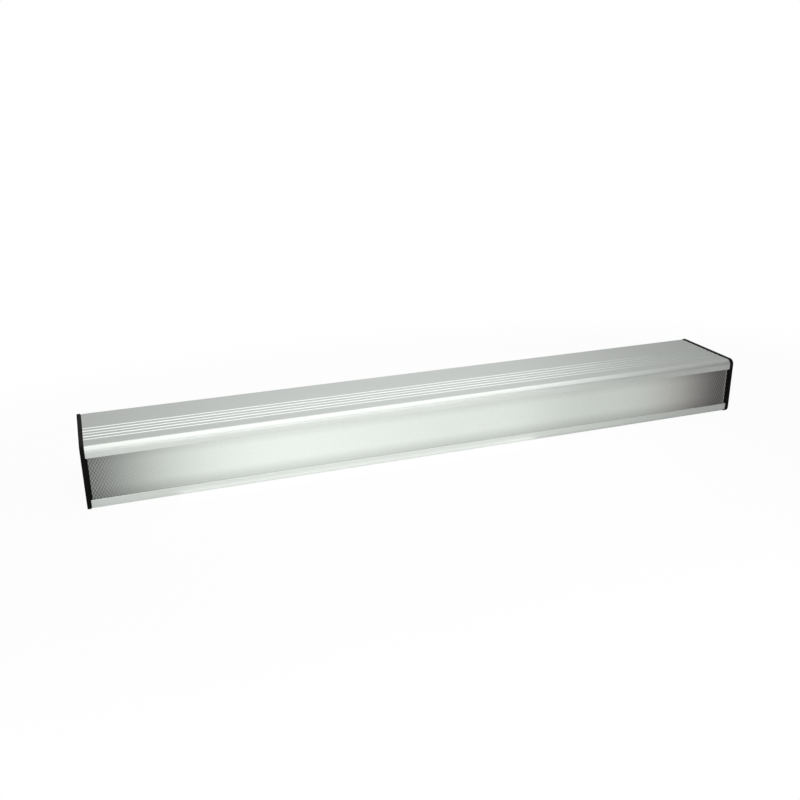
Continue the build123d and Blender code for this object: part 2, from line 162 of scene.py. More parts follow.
def with_mirror(upper):
    """Corner rows of an upper half, followed by their mirror image below, run backwards."""
    upper = np.asarray(upper, float)
    return np.concatenate([upper, upper[::-1] * (1, -1, 1)])


def turn_angles(count):
    """Even angles round a whole turn."""
    return np.arange(count) * 2 * math.pi / count


def ring(across, up, radius, count=48):
    """Round outline, anticlockwise."""
    angle = turn_angles(count)
    return np.stack([across + radius * np.cos(angle), up + radius * np.sin(angle)], 1)


def rectangle(across, up):
    """Corners of a rectangle about the origin, from its two half sides."""
    return np.array([(-across, -up), (across, -up), (across, up), (-across, up)])


def rim(radius, steps=5):
    """Quarter round of an edge: how far it is drawn in and how far it has risen, at even angles."""
    angle = np.linspace(0, math.pi / 2, steps + 1)
    return radius * (1 - np.cos(angle)), radius * np.sin(angle)


def saw(turns):
    """Triangle wave of period one, from 0 at whole turns to 1 halfway between them."""
    return 1 - abs(2 * np.mod(turns, 1) - 1)


def stacked(places, loops):
    """Rows of points: each loop of (across, up) at its own place along the axis."""
    loops = np.asarray(loops, float)
    place = np.broadcast_to(np.asarray(places, float)[:, None, None], loops.shape[:2] + (1,))
    return np.concatenate([place, loops], 2)


def tube(rows, axis=0, keep=None):
    """Skin of four-sided faces between closed rows of points. Anticlockwise rows that advance along the axis
    face outwards, and clockwise ones face into a hole. Axis 0, 1 or 2 lays the first column along X, Y or Z.
    Keep says which faces round a row are made."""
    count, size = rows.shape[:2]
    index = np.arange(count * size).reshape(count, size)
    ahead = np.roll(index, -1, 1)
    faces = np.stack([index[:-1], ahead[:-1], ahead[1:], index[1:]], -1)
    faces = faces if keep is None else faces[:, keep]
    return np.roll(rows.reshape(-1, 3), axis, 1), faces.reshape(-1, 4)


def bar(places, loop, axis=0, keep=None):
    """One outline carried along the axis between two places. Keep is as in tube."""
    return tube(stacked(places, [loop] * 2), axis, keep)


def plate(place, facing, loops, axis=0):
    """Flat face across the axis, bounded by the first loop and pierced by the others, facing along the axis
    (1) or against it (-1)."""
    flat = np.concatenate(loops)
    outlines = [np.column_stack([loop, 0 * loop[:, 0]]).tolist() for loop in loops]
    faces = np.array(tessellate_polygon(outlines))
    one, two, three = (flat[faces[:, corner]] for corner in range(3))
    area = np.cross(two - one, three - one)
    faces = np.where((area * facing > 0)[:, None], faces, faces[:, ::-1])
    return np.roll(np.column_stack([np.full(len(flat), place), flat]), axis, 1), faces


def mirrored(parts):
    """The same parts at the left end: X changes sign and the faces turn round."""
    return [(points * (-1, 1, 1), faces[:, ::-1]) for points, faces in parts]


def shifted(parts, x, z):
    """The same parts moved along X and Z."""
    return [(points + (x, 0.0, z), faces) for points, faces in parts]


def housing_outline():
    """Outline of the extrusion, whose front chamber is open at the window. The upper half runs from the rear
    face through a T-slot, along the grooved top, round the front edge and the lip into the sheet's groove,
    past the screw boss and along the chamber's ceiling to the web. The lower half, run backwards, is its
    mirror image but for a shorter lip."""
    low, high = z_slot - pocket_half, z_slot + pocket_half
    slot = [
        (0.0, z_slot - mouth_half, soft_edge), (y_flange, z_slot - mouth_half, fine_edge),
        (y_flange, low, crisp_edge), (y_pocket, low, pocket_corner),
        (y_pocket, high, pocket_corner), (y_flange, high, crisp_edge),
        (y_flange, z_slot + mouth_half, fine_edge), (0.0, z_slot + mouth_half, soft_edge),
        (0.0, z_top, rear_radius),
    ]
    centre = y_front + groove_setback + groove_pitch * np.arange(len(groove_half))[:, None]
    across = centre + groove_half[:, None] * np.array([-1, 0, 1])
    up = z_top - groove_depth[:, None] * np.array([0, 1, 0])
    soft = np.broadcast_to([soft_edge, fine_edge, soft_edge], up.shape)
    grooves = np.stack([across, up, soft], -1).reshape(-1, 3)[::-1]
    inside = [
        (y_lip, z_grip, soft_edge), (y_seal, z_grip, soft_edge),
        (y_seal, z_window, crisp_edge), (y_fin, z_window, crisp_edge),
        (y_fin, z_boss, soft_edge), (y_boss, z_boss, wall_corner),
        (y_boss, z_ceiling, wall_corner), (y_web_front, z_ceiling, wall_corner),
    ]

    def half(z_lip):
        """Corners of one half, whose lip ends at a height."""
        lip = [(y_front, z_top, front_radius), (y_front, z_lip, lip_edge), (y_lip, z_lip, fine_edge)]
        return np.concatenate([slot, grooves, lip, inside])

    return rounded(np.concatenate([half(z_window), half(-z_sill)[::-1] * (1, -1, 1)]))


def rear_chamber():
    """Closed outline of the chamber behind the web, with the relief between the two T-slots."""
    places = [
        (y_flange, z_relief), (y_slot_block, z_relief), (y_slot_block, z_ceiling), (y_web_rear, z_ceiling),
    ]
    return rounded(with_mirror([(y, z, wall_corner) for y, z in places]))


def off_web(loop, y):
    """Which sides of a loop don't run across the flat face of the web."""
    ends = np.roll(loop, -1, 0)
    level = (abs(loop[:, 0] - y) < LEVEL) & (abs(ends[:, 0] - y) < LEVEL)
    return ~(level & (abs(ends[:, 1] - loop[:, 1]) > z_window))


def housing_parts():
    """Extrusion: its outline, rear chamber and screw cores carried along X, two sawn ends, and the web's two
    faces pierced by the drilled holes."""
    outside = housing_outline()
    chamber = rear_chamber()
    cores = [ring(y, z, core_radius) for y, z in core_places]
    ends = (-x_end, x_end)
    parts = [
        bar(ends, outside, keep=off_web(outside, y_web_front)),
        bar(ends, chamber[::-1], keep=off_web(chamber[::-1], y_web_rear)),
    ]
    parts += [bar(ends, core[::-1]) for core in cores]
    parts += [plate(x, facing, [outside, chamber, *cores]) for x, facing in zip(ends, (-1, 1))]
    web = rectangle(z_ceiling - wall_corner, x_end)
    holes = [ring(*hole) for hole in web_holes]
    faces = (y_web_front, y_web_rear)
    parts += [plate(y, facing, [web, *holes], axis=1) for y, facing in zip(faces, (-1, 1))]
    parts += [bar(faces, hole[::-1], axis=1) for hole in holes]
    return parts


def cap_outline(inset):
    """Outline of a cap drawn in by inset: proud of the housing at the front, top and bottom, flush behind."""
    front = y_front - cap_proud + inset
    top = z_top + cap_proud - inset
    outer = front_radius + cap_proud - inset
    inner = rear_radius - inset
    corners = [(-inset, -top, inner), (-inset, top, inner), (front, top, outer), (front, -top, outer)]
    return rounded(corners, steps=12)


def box_outline(y_span, z_span, inset, radius):
    """Rounded rectangle between two Y limits and two Z limits, drawn in by inset."""
    front, rear = y_span[0] + inset, y_span[1] - inset
    low, high = z_span[0] + inset, z_span[1] - inset
    places = [(rear, low), (rear, high), (front, high), (front, low)]
    return rounded([(y, z, radius) for y, z in places], steps=6)


def cap_parts(with_inlet):
    """Right cap: a plate with a rounded outer edge, the tongue that closes the end of the window, the frame
    that plugs the rear chamber, four stepped screw holes, and the hole of the inlet where there is one."""
    drawn, risen = rim(cap_edge)
    small, lift = rim(cap_inner_edge, steps=3)
    places = np.concatenate([(x_cap_in + cap_inner_edge - lift)[::-1], x_cap_out - cap_edge + risen])
    loops = [cap_outline(inset) for inset in np.concatenate([small[::-1], drawn])]
    x_seat = x_cap_out - seat_depth
    seat_places = (x_cap_in, x_seat, x_seat, x_cap_out - seat_bevel, x_cap_out)
    seat_radii = (screw_hole, screw_hole, seat_radius, seat_radius, seat_radius + seat_bevel)
    seats = [[ring(y, z, radius) for radius in seat_radii] for y, z in core_places]
    parts = [tube(stacked(places, loops))]
    parts += [tube(stacked(seat_places, seat)[:, ::-1]) for seat in seats]
    inlet = [ring(y_inlet, 0.0, inlet_hole, count=64)] if with_inlet else []
    parts += [bar((x_cap_in, x_cap_out), hole[::-1]) for hole in inlet]
    parts.append(plate(x_cap_out, 1, [loops[-1], *(seat[-1] for seat in seats), *inlet]))

    y_tongue = (y_front + tongue_recess, y_seal - slip_gap)
    z_tongue = (z_sill + slip_gap, z_window - slip_gap)
    drawn, risen = rim(tongue_edge)
    tongue = [box_outline(y_tongue, z_tongue, inset, tongue_corner) for inset in drawn[::-1]]
    tongue_places = np.append(x_tongue + tongue_edge - risen[::-1], x_cap_in)
    parts.append(tube(stacked(tongue_places, tongue + tongue[-1:])))
    parts.append(plate(x_tongue, -1, tongue[:1]))

    y_plug = (y_web_rear + slip_gap, y_slot_block - slip_gap)
    z_plug = (slip_gap - z_ceiling, z_ceiling - slip_gap)
    outer = box_outline(y_plug, z_plug, 0.0, plug_corner)
    inner = box_outline(y_plug, z_plug, plug_wall, plug_inner_corner)
    plug_places = (x_end - plug_length, x_cap_in)
    parts += [bar(plug_places, outer), bar(plug_places, inner[::-1])]
    parts.append(plate(plug_places[0], -1, [outer, inner]))
    parts.append(plate(x_cap_in, -1, [loops[0], tongue[-1], outer, *(seat[0] for seat in seats)]))
    parts.append(plate(x_cap_in, -1, [inner, *inlet]))
    return parts


def hexagon(angle):
    """Radius of a hexagon of corner radius one at each angle."""
    return math.cos(math.pi / 6) / np.cos(np.mod(angle, math.pi / 3) - math.pi / 6)


def turned(profile, y, z, count=48, shape=None):
    """Surface turned about a line along X: at angle a and row k of the profile the point lies at (place of
    the row, y + r cos a, z + r sin a). A row is (place, radius, share of a hexagon), and shape(angle, place)
    scales r."""
    angle = turn_angles(count)
    place, radius, share = profile[:, :1], profile[:, 1:2], profile[:, 2:3]
    reach = radius * (1 - share + share * hexagon(angle))
    if shape is not None:
        reach = reach * shape(angle, place)
    place = np.broadcast_to(place, reach.shape)
    return [tube(np.stack([place, y + reach * np.cos(angle), z + reach * np.sin(angle)], -1))]


def cap_screw_parts():
    """Four low-headed socket screws of the right cap, each turned from its pointed end over the head to the
    floor of its socket, which is a hexagon."""
    length, shank, tip, tip_radius = 14.0, 1.95, 0.8, 1.3
    head_height, head_radius, head_edge, head_bevel = 1.3, 3.2, 0.5, 0.1
    socket, socket_mouth, socket_bevel, socket_depth, socket_cone = 1.5, 1.72, 0.16, 0.8, 0.2
    x_seat = x_cap_out - seat_depth
    x_tip = x_seat - length
    x_head = x_seat + head_height
    x_floor = x_head - socket_depth
    drawn, risen = rim(head_edge, steps=6)
    profile = np.concatenate([
        [(x_tip, 0.0, 0), (x_tip, tip_radius, 0), (x_tip + tip, shank, 0), (x_seat, shank, 0)],
        [(x_seat, head_radius - head_bevel, 0), (x_seat + head_bevel, head_radius, 0)],
        np.stack([x_head - head_edge + risen, head_radius - drawn, 0 * drawn], 1),
        [(x_head, socket_mouth, 0), (x_head - socket_bevel, socket, 1)],
        [(x_floor, socket, 1), (x_floor - socket_cone, 0.0, 1)],
    ])
    return sum((turned(profile, y, z) for y, z in core_places), [])


def inlet_parts():
    """Shell of the inlet, turned from the rear of its bore over the barrel, flange and thread to the mouth
    and back down the bore. The thread's ridge climbs one pitch a turn, and fades out at the flange and the
    mouth."""
    x_rear, x_flange, x_face, x_mouth = 292.8, 301.0, 303.5, 312.0
    bore, barrel, barrel_bevel, flange, flange_edge = 4.3, 7.9, 0.4, 10.0, 0.35
    mouth_radius, mouth_bevel = 5.2, 0.3
    pitch, depth, crest, run_out, lead_in = 1.0, 0.55, 6.0, 0.8, 0.9
    wind_rows, wind_gap = 90, 0.02
    drawn, risen = rim(flange_edge, steps=4)
    wind = np.linspace(x_face + wind_gap, x_mouth - wind_gap, wind_rows)
    profile = np.concatenate([
        [(x_rear, bore), (x_rear, barrel - barrel_bevel)],
        [(x_rear + barrel_bevel, barrel), (x_flange, barrel)],
        np.stack([x_flange + flange_edge - risen[::-1], flange - drawn[::-1]], 1),
        np.stack([x_face - flange_edge + risen, flange - drawn], 1),
        [(x_face, crest)],
        np.stack([wind, np.full(wind_rows, crest)], 1),
        [(x_mouth, mouth_radius), (x_mouth, bore + mouth_bevel)],
        [(x_mouth - mouth_bevel, bore), (x_rear, bore)],
    ])
    profile = np.column_stack([profile, np.zeros(len(profile))])

    def thread(angle, place):
        """Radius over the crest: cut by the triangle wave of place / pitch - angle / whole turn."""
        on = (place > x_face) & (place < x_mouth) & (profile[:, 1:2] == crest)
        fade = np.clip((place - x_face) / run_out, 0, 1)
        lead = np.clip((x_mouth - place) / lead_in, 0, 1)
        cut = np.maximum(fade * saw(place / pitch - angle / (2 * math.pi)), 1 - lead)
        return 1 - on * cut * depth / crest

    return turned(profile, y_inlet, 0.0, count=64, shape=thread)


def sheet_parts():
    """Prismatic sheet: six-sided prisms in rows, each row shifted by half a prism. The grid has two columns
    to a prism and three rows to a row of prisms. With even meaning that column + row is even, points of
    every third row are peaks (even) or valleys, and those between are valleys (even) or halfway up. Squares
    are split from one even corner to the other, or else from odd to odd, so that the sides of the prisms are
    flat. The back is flat."""
    column, row = np.meshgrid(np.arange(sheet_columns + 1), np.arange(sheet_rows + 1), indexing="ij")
    x = np.linspace(-x_sheet, x_sheet, sheet_columns + 1)[column]
    z = np.linspace(-z_sheet, z_sheet, sheet_rows + 1)[row]
    even = (column + row) % 2 == 0
    sunk = np.where(row % 3 == 0, np.where(even, 0.0, 1.0), np.where(even, 1.0, 0.5))
    front = np.stack([x, y_lip + prism_depth * sunk, z], -1)
    index = np.arange(column.size).reshape(column.shape)
    one, two, three, four = index[:-1, :-1], index[1:, :-1], index[1:, 1:], index[:-1, 1:]
    along = even[:-1, :-1, None]
    lower = np.where(along, np.stack([one, two, three], -1), np.stack([one, two, four], -1))
    upper = np.where(along, np.stack([one, three, four], -1), np.stack([two, three, four], -1))
    faces = np.concatenate([lower.reshape(-1, 3), upper.reshape(-1, 3)])
    border = np.concatenate([front[:-1, 0], front[-1, :-1], front[:0:-1, -1], front[0, :0:-1]])[::-1]
    back = border * (1, 0, 1) + (0, y_sheet_back, 0)
    edge = np.roll(np.stack([border, back]), -1, 2)
    return [(front.reshape(-1, 3), faces), tube(edge, axis=1), (back, np.arange(len(back))[None])]


def nut_parts():
    """Slot nut at the origin of X and Z: a T-shaped bar, with a threaded hole along Y whose radius grows from
    the core by the triangle wave of depth / pitch - angle / whole turn, and a lead-in at both faces."""
    y_neck, y_face, y_rear = -0.4, -2.35, -5.75
    neck, base, half_length = 3.0, 5.05, 10.0
    neck_edge, base_edge, rear_edge = 0.4, 0.5, 0.6
    core, depth, pitch, lead_in, mouth_radius = 2.1, 0.4, 0.8, 0.45, 2.65
    wind_rows, wind_count = 46, 40
    section = rounded(with_mirror([
        (y_neck, neck, neck_edge), (y_face, neck, fine_edge),
        (y_face, base, base_edge), (y_rear, base, rear_edge),
    ]), steps=4)
    run = abs(np.roll(section, -1, 0) - section)
    flat = (run[:, 0] < LEVEL) & (run[:, 1] > neck)
    parts = [bar((-half_length, half_length), section, keep=~flat)]
    parts += [plate(side * half_length, side, [section]) for side in (-1, 1)]
    angle = turn_angles(wind_count)
    wind = np.linspace(y_rear + lead_in, y_neck - lead_in, wind_rows)
    place = np.concatenate([[y_rear], wind, [y_neck]])[:, None]
    reach = core + depth * saw(place / pitch - angle / (2 * math.pi))
    reach[0] = reach[-1] = mouth_radius
    place = np.broadcast_to(place, reach.shape)
    wall = np.stack([place, reach * np.cos(angle), reach * np.sin(angle)], -1)
    parts.append(tube(wall[:, ::-1], axis=1))
    for y, facing, z_edge, mouth in (
        (y_neck, 1, neck - neck_edge, wall[-1, :, 1:]), (y_rear, -1, base - rear_edge, wall[0, :, 1:]),
    ):
        parts.append(plate(y, facing, [rectangle(z_edge, half_length), mouth], axis=1))
    return parts


class Value:
    """One value in a shader. Arithmetic on it adds Math nodes."""

    def __init__(self, graph, socket):
        self.graph = graph
        self.socket = socket

    def __add__(self, other):
        return self.graph.math("ADD", self, other)

    def __radd__(self, other):
        return self.graph.math("ADD", other, self)

    def __sub__(self, other):
        return self.graph.math("SUBTRACT", self, other)

    def __rsub__(self, other):
        return self.graph.math("SUBTRACT", other, self)

    def __mul__(self, other):
        return self.graph.math("MULTIPLY", self, other)

    def __rmul__(self, other):
        return self.graph.math("MULTIPLY", other, self)

    def __truediv__(self, other):
        return self.graph.math("DIVIDE", self, other)

    def __pow__(self, other):
        return self.graph.math("POWER", self, other)

    def __abs__(self):
        return self.graph.math("ABSOLUTE", self)


class Graph:
    """Nodes of a finish or of the surroundings."""

    def __init__(self, owner):
        owner.use_nodes = True
        self.owner = owner
        self.tree = owner.node_tree
        self.tree.nodes.clear()

    def add(self, kind, settings=None, sockets=None, output=0):
        """Adds a node with its settings, and gives its sockets their values or links. Returns one output."""
        node = self.tree.nodes.new("ShaderNode" + kind)
        for name, value in (settings or {}).items():
            setattr(node, name, value)
        for name, value in (sockets or {}).items():
            if isinstance(value, Value):
                self.tree.links.new(value.socket, node.inputs[name])
            else:
                node.inputs[name].default_value = value
        return Value(self, node.outputs[output]) if len(node.outputs) else None

    def math(self, operation, *values):
        """A Math node."""
        return self.add("Math", {"operation": operation}, dict(enumerate(values)))

    def place(self, scale):
        """Object coordinates in metres, stretched by one number or by one for each axis."""
        spot = self.add("TexCoord", output="Object")
        stretch = np.broadcast_to(scale, 3).tolist()
        return self.add("VectorMath", {"operation": "MULTIPLY"}, {0: spot, 1: stretch})

    def split(self, spot, names):
        """Named coordinates of a vector."""
        return [self.add("SeparateXYZ", None, {0: spot}, name) for name in names]

    def axes(self, names):
        """Named coordinates of a point of the piece, in millimetres."""
        return self.split(self.place(1 / MM), names)

    def rays(self):
        """Whether a ray comes from the camera, and whether it comes from a reflection or through glass."""
        names = ("Is Camera Ray", "Is Glossy Ray", "Is Transmission Ray")
        camera, glossy, glass = [self.add("LightPath", output=name) for name in names]
        return camera, (1 - camera) * self.math("MAXIMUM", glossy, glass)

    def noise(self, scale, detail=2.0, roughness=0.5):
        """Noise from 0 to 1, of one scale or of one for each axis."""
        sockets = {"Vector": self.place(scale), "Scale": 1.0, "Detail": detail, "Roughness": roughness}
        return self.add("TexNoise", None, sockets)

    def step(self, value, low, high):
        """0 up to low and 1 beyond high, with a smooth rise between. Low may be the larger number."""
        sockets = {"Value": value, "From Min": low, "From Max": high}
        return self.add("MapRange", {"interpolation_type": "SMOOTHSTEP"}, sockets)

    def fade(self, value, low, high):
        """1 up to low and 0 beyond high, with a smooth fall between."""
        return 1 - self.step(value, low, high)

    def blend(self, share, one, two):
        """Colour between two colours, each a value or its red, green and blue. The Mix node's inputs 6 and 7
        and its output 2 are the ones for colours."""
        one, two = [colour if isinstance(colour, Value) else (*colour, 1.0) for colour in (one, two)]
        sockets = {"Factor": share, 6: one, 7: two}
        return self.add("Mix", {"data_type": "RGBA", "clamp_factor": True}, sockets, 2)

    def bump(self, height, strength, distance):
        """Normal tilted by a height."""
        return self.add("Bump", None, {"Strength": strength, "Distance": distance, "Height": height})

    def surface(self, **sockets):
        """Main shader of the finish. Socket names are written with underscores."""
        names = {name.replace("_", " "): value for name, value in sockets.items()}
        shader = self.add("BsdfPrincipled", None, names)
        self.add("OutputMaterial", None, {"Surface": shader})
        return self.owner


WHITE = (1.0, 1.0, 1.0, 1.0)


def finish(name):
    """Empty finish of that name."""
    return Graph(bpy.data.materials.new(name))


def grey(value, green=1.0):
    """Colour of one brightness, slightly greener or not."""
    return (value, value * green, value)


def anodised_aluminium():
    """Satin anodised extrusion: die lines along X, a fine etched grain and slow changes of tone."""
    graph = finish("anodised_aluminium")
    lines = graph.noise((5.0, 2600.0, 2600.0), detail=3.0)
    grain = graph.noise(5200.0)
    cloud = graph.noise((9.0, 30.0, 30.0))
    tone = 0.35 * lines + 0.35 * grain + 0.3 * cloud
    return graph.surface(
        Base_Color=graph.blend(tone, (0.65, 0.677, 0.65), (0.79, 0.823, 0.79)),
        Metallic=0.9,
        Roughness=0.36 + 0.06 * lines + 0.06 * grain,
        Normal=graph.bump(0.45 * lines + 0.4 * grain, strength=0.09, distance=0.00006),
    )


def moulded(name, dark, light, roughness, gloss, grain=2400.0, strength=0.15):
    """Moulded plastic or rubber: a fine spark-eroded grain, with slow changes of tone."""
    graph = finish(name)
    pores = graph.noise(grain)
    cloud = graph.noise(60.0, detail=3.0)
    return graph.surface(
        Base_Color=graph.blend(0.5 * pores + 0.5 * cloud, dark, light),
        Roughness=roughness - 0.08 + 0.16 * pores,
        Specular_IOR_Level=gloss,
        Normal=graph.bump(pores, strength, distance=0.0001),
    )


def plated(name, dark, light, roughness, scratch=300.0):
    """Plated or bare metal: small crystals of slightly different tone and fine scratches."""
    graph = finish(name)
    spangle = graph.add("TexVoronoi", None, {"Vector": graph.place(900.0), "Scale": 1.0}, "Distance")
    scuffs = graph.noise(scratch, detail=4.0, roughness=0.7)
    return graph.surface(
        Base_Color=graph.blend(0.4 * spangle + 0.6 * scuffs, dark, light),
        Metallic=1.0,
        Roughness=roughness - 0.06 + 0.14 * scuffs,
        Normal=graph.bump(scuffs, strength=0.08, distance=0.00005),
    )


def prismatic_sheet():
    """Clear prismatic sheet over the lit chamber. The glow rises from both ends of the sheet, because the LED
    rows stop short of them, as 1 - exp(-((distance + lead) / reach) ** power). Painted shade makes it fall
    slowly towards the right and makes it darker towards the lips. Near the ends a painted highlight makes the
    prism peaks lighter than their valleys, for light that reaches them from one side only. The cut ends of
    the sheet get a painted highlight, the right one more."""
    graph = finish("prismatic_sheet")
    x, z = graph.axes("XZ")
    left = x_sheet + x
    right = x_sheet - x
    nearest = graph.math("MINIMUM", left, right)

    def rise(distance, lead, reach, power):
        """Glow from one end."""
        return 1 - graph.math("EXPONENT", -1 * ((distance + lead) / reach) ** power)

    both = rise(left, lead=19.0, reach=81.5, power=1.5) * rise(right, lead=6.0, reach=67.0, power=1.8)
    # Painted shade: the glow is made darker towards the right of the sheet.
    painted_shade_rightward = 1 - 0.22 * graph.step(x, -240.0, 65.0) - 0.19 * graph.step(x, 43.0, 150.0)
    # Painted shade: the glow is made darker towards both lips, more towards the lower one.
    painted_shade_at_lips = 1 - 0.13 * graph.step(z, 8.5, 16.0) - 0.27 * graph.step(z, -6.5, -17.8)
    column = left * (math.pi * sheet_columns / (2 * x_sheet))
    row = (z + z_sheet) * (math.pi * sheet_rows / (6 * z_sheet))
    prisms = graph.math("COSINE", column) * graph.math("COSINE", row)
    # Painted highlight: near the ends the glow is raised, more on the prism peaks than in their valleys.
    painted_prism_highlight = (0.03 + 0.13 * prisms) * graph.math("EXPONENT", nearest / -14.0)
    # Painted highlight: a thin lighter band along the cut ends of the sheet, brighter at the right end.
    painted_end_highlight = 0.03 * graph.step(nearest, 1.0, 0.5) + 0.06 * graph.step(right, 2.2, 0.8)
    # Lamp glow of the LED rows, with the painted shade and painted highlights above worked into it.
    glow = graph.math("MAXIMUM", 0.89 * both * painted_shade_rightward * painted_shade_at_lips + painted_prism_highlight + painted_end_highlight, 0.0)
    tint = graph.blend(graph.step(x, 180.0, 285.0), (0.94, 1.0, 0.935), (1.0, 0.955, 0.9))
    mottle = graph.noise(400.0)
    pores = graph.noise(3000.0)
    return graph.surface(
        Base_Color=graph.blend(mottle, grey(0.05), grey(0.07, green=1.01)),
        Roughness=0.28 + 0.1 * pores,
        IOR=1.49,
        Emission_Color=graph.blend(glow, grey(0.0), tint),
        Emission_Strength=1.0,
    )


def circuit(name, mask, copper, legend):
    """Circuit board: solder mask over faint copper runs along the board, with a row of printed dashes along
    each edge."""
    graph = finish(name)
    x, z = graph.axes("XZ")
    run_turn, dash_turn, z_dashes = 1.9, 1.26, 9.6
    runs = graph.step(abs(graph.math("SINE", z * run_turn)), 0.75, 0.9)
    cuts = graph.step(graph.noise((220.0, 10.0, 900.0)), 0.42, 0.5)
    dashes = graph.step(graph.math("SINE", x * dash_turn), 0.86, 0.9)
    dashes = dashes * graph.step(abs(z), z_dashes, z_dashes + 0.2)
    body = graph.blend(0.5 * runs * cuts, mask, copper)
    weave = graph.noise(1500.0)
    return graph.surface(
        Base_Color=graph.blend(dashes, body, legend),
        Roughness=0.34 + 0.16 * weave,
        Normal=graph.bump(runs * cuts + 0.2 * weave, strength=0.3, distance=0.00004),
    )


def led_phosphor():
    """LED package: white body with the yellow phosphor lens in front of it."""
    graph = finish("led_phosphor")
    [y] = graph.axes("Y")
    y_lens = -43.05
    lens = graph.step(y, y_lens, y_lens - 0.1)
    speck = graph.noise(4000.0)
    return graph.surface(
        Base_Color=graph.blend(lens, grey(0.8), (0.95, 0.72, 0.12)),
        Roughness=0.3 + 0.2 * speck,
        Normal=graph.bump(speck, strength=0.1, distance=0.00003),
    )


def capacitor_sleeve():
    """Sleeved can: dark sleeve with a pale stripe down one side and a bare aluminium top."""
    graph = finish("capacitor_sleeve")
    x, y = graph.axes("XY")
    y_top, x_stripe = -19.65, 235.4
    top = graph.step(y, y_top, y_top + 0.05)
    stripe = graph.step(x, x_stripe, x_stripe + 0.2) * (1 - top)
    speck = graph.noise(1800.0)
    sleeve = graph.blend(stripe, (0.015, 0.02, 0.05), grey(0.55))
    return graph.surface(
        Base_Color=graph.blend(top, sleeve, grey(0.62)),
        Metallic=top,
        Roughness=0.3 + 0.15 * speck,
        Normal=graph.bump(speck, strength=0.1, distance=0.00004),
    )


# Rows of dark and light tone, roughness and gloss, with the scale and depth of the grain where they differ
mouldings = {
    "black_plastic": (grey(0.004), (0.007, 0.007, 0.0073), 0.45, 0.05),
    "black_rubber": (grey(0.008), grey(0.016), 0.75, 0.2, 1500.0, 0.25),
    "white_reflector": ((0.80, 0.80, 0.79), (0.86, 0.86, 0.85), 0.55, 0.4, 3000.0, 0.08),
    "grey_pad": ((0.26, 0.27, 0.28), (0.33, 0.34, 0.35), 0.8, 0.2, 900.0, 0.3),
    "white_plastic": ((0.68, 0.68, 0.66), (0.76, 0.76, 0.74), 0.4, 0.5),
    "grey_plastic": ((0.20, 0.21, 0.21), (0.26, 0.27, 0.27), 0.4, 0.5),
    "dark_ferrite": ((0.03, 0.03, 0.032), (0.06, 0.06, 0.062), 0.6, 0.4, 1200.0, 0.3),
    "brown_wire": ((0.09, 0.035, 0.015), (0.13, 0.05, 0.022), 0.4, 0.5),
    "white_wire": ((0.66, 0.66, 0.64), (0.74, 0.74, 0.72), 0.4, 0.5),
    "blue_wire": ((0.01, 0.05, 0.24), (0.018, 0.08, 0.32), 0.4, 0.5),
    "black_wire": (grey(0.008), grey(0.016), 0.4, 0.5),
    "red_wire": ((0.32, 0.012, 0.01), (0.42, 0.02, 0.016), 0.4, 0.5),
}

# Rows of dark and light tone and roughness, with the scale of the scratches where it differs
platings = {
    "black_steel": ((0.02, 0.02, 0.022), (0.05, 0.05, 0.052), 0.38),
    "zinc_steel": ((0.50, 0.51, 0.52), (0.66, 0.67, 0.69), 0.32),
    "spring_steel": (grey(0.36), grey(0.48), 0.28, (40.0, 1500.0, 1500.0)),
    "nickel": ((0.60, 0.58, 0.54), (0.66, 0.64, 0.60), 0.26),
    "gold_contact": ((0.72, 0.48, 0.16), (0.86, 0.60, 0.24), 0.24),
}

# Colours of the solder mask, the copper under it and the printed dashes
boards = {
    "white_board": ((0.78, 0.79, 0.78), (0.70, 0.71, 0.68), grey(0.10)),
    "green_board": ((0.01, 0.10, 0.035), (0.03, 0.19, 0.07), (0.7, 0.7, 0.66)),
}

finishes = {
    "anodised_aluminium": anodised_aluminium(),
    "prismatic_sheet": prismatic_sheet(),
    "led_phosphor": led_phosphor(),
    "capacitor_sleeve": capacitor_sleeve(),
}
for make, looks in ((moulded, mouldings), (plated, platings), (circuit, boards)):
    finishes.update({name: make(name, *look) for name, look in looks.items()})

# CAD nodes that stay as they are get the finish of their material slot
node_slots = {row["node"]: row["material_slot"] for row in frame["record"]["subparts"]}
for name, node in frame["nodes"].items():
    node.data.materials.clear()
    node.data.materials.append(finishes[node_slots[name]])


def piece(name, parts, node, body="luminaire", crease=40.0):
    """Mesh of parts welded where their points meet, in place of a CAD node and with its finish. A four-sided
    face with two corners on one point becomes a triangle. Edges that turn by more than the crease angle are
    sharp, and with no crease angle every face is flat."""
    starts = np.cumsum([0] + [len(points) for points, faces in parts])
    cloud = np.concatenate([points for points, faces in parts]) * MM
    points, index = np.unique(np.round(cloud, WELD_DIGITS), axis=0, return_inverse=True)
    index = index.ravel()
    polygons = []
    for start, (_, faces) in zip(starts, parts):
        faces = index[faces + start]
        if faces.shape[1] == 4:
            first = faces[:, 0] == faces[:, 1]
            last = faces[:, 2] == faces[:, 3]
            polygons += faces[first][:, [0, 2, 3]].tolist() + faces[last][:, :3].tolist()
            faces = faces[~(first | last)]
        polygons += faces.tolist()
    slot = node_slots[node]
    mesh = bpy.data.meshes.new(name)
    mesh.from_pydata(points.tolist(), [], polygons)
    mesh.validate()
    mesh.materials.append(finishes[slot])
    obj = bpy.data.objects.new(name, mesh)
    bpy.context.collection.objects.link(obj)
    if crease:
        mesh.shade_smooth()
        mesh.set_sharp_from_angle(angle=math.radians(crease))
        even = obj.modifiers.new("even_shading", "WEIGHTED_NORMAL")
        even.keep_sharp = True
    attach(obj, body)
    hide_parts(node)


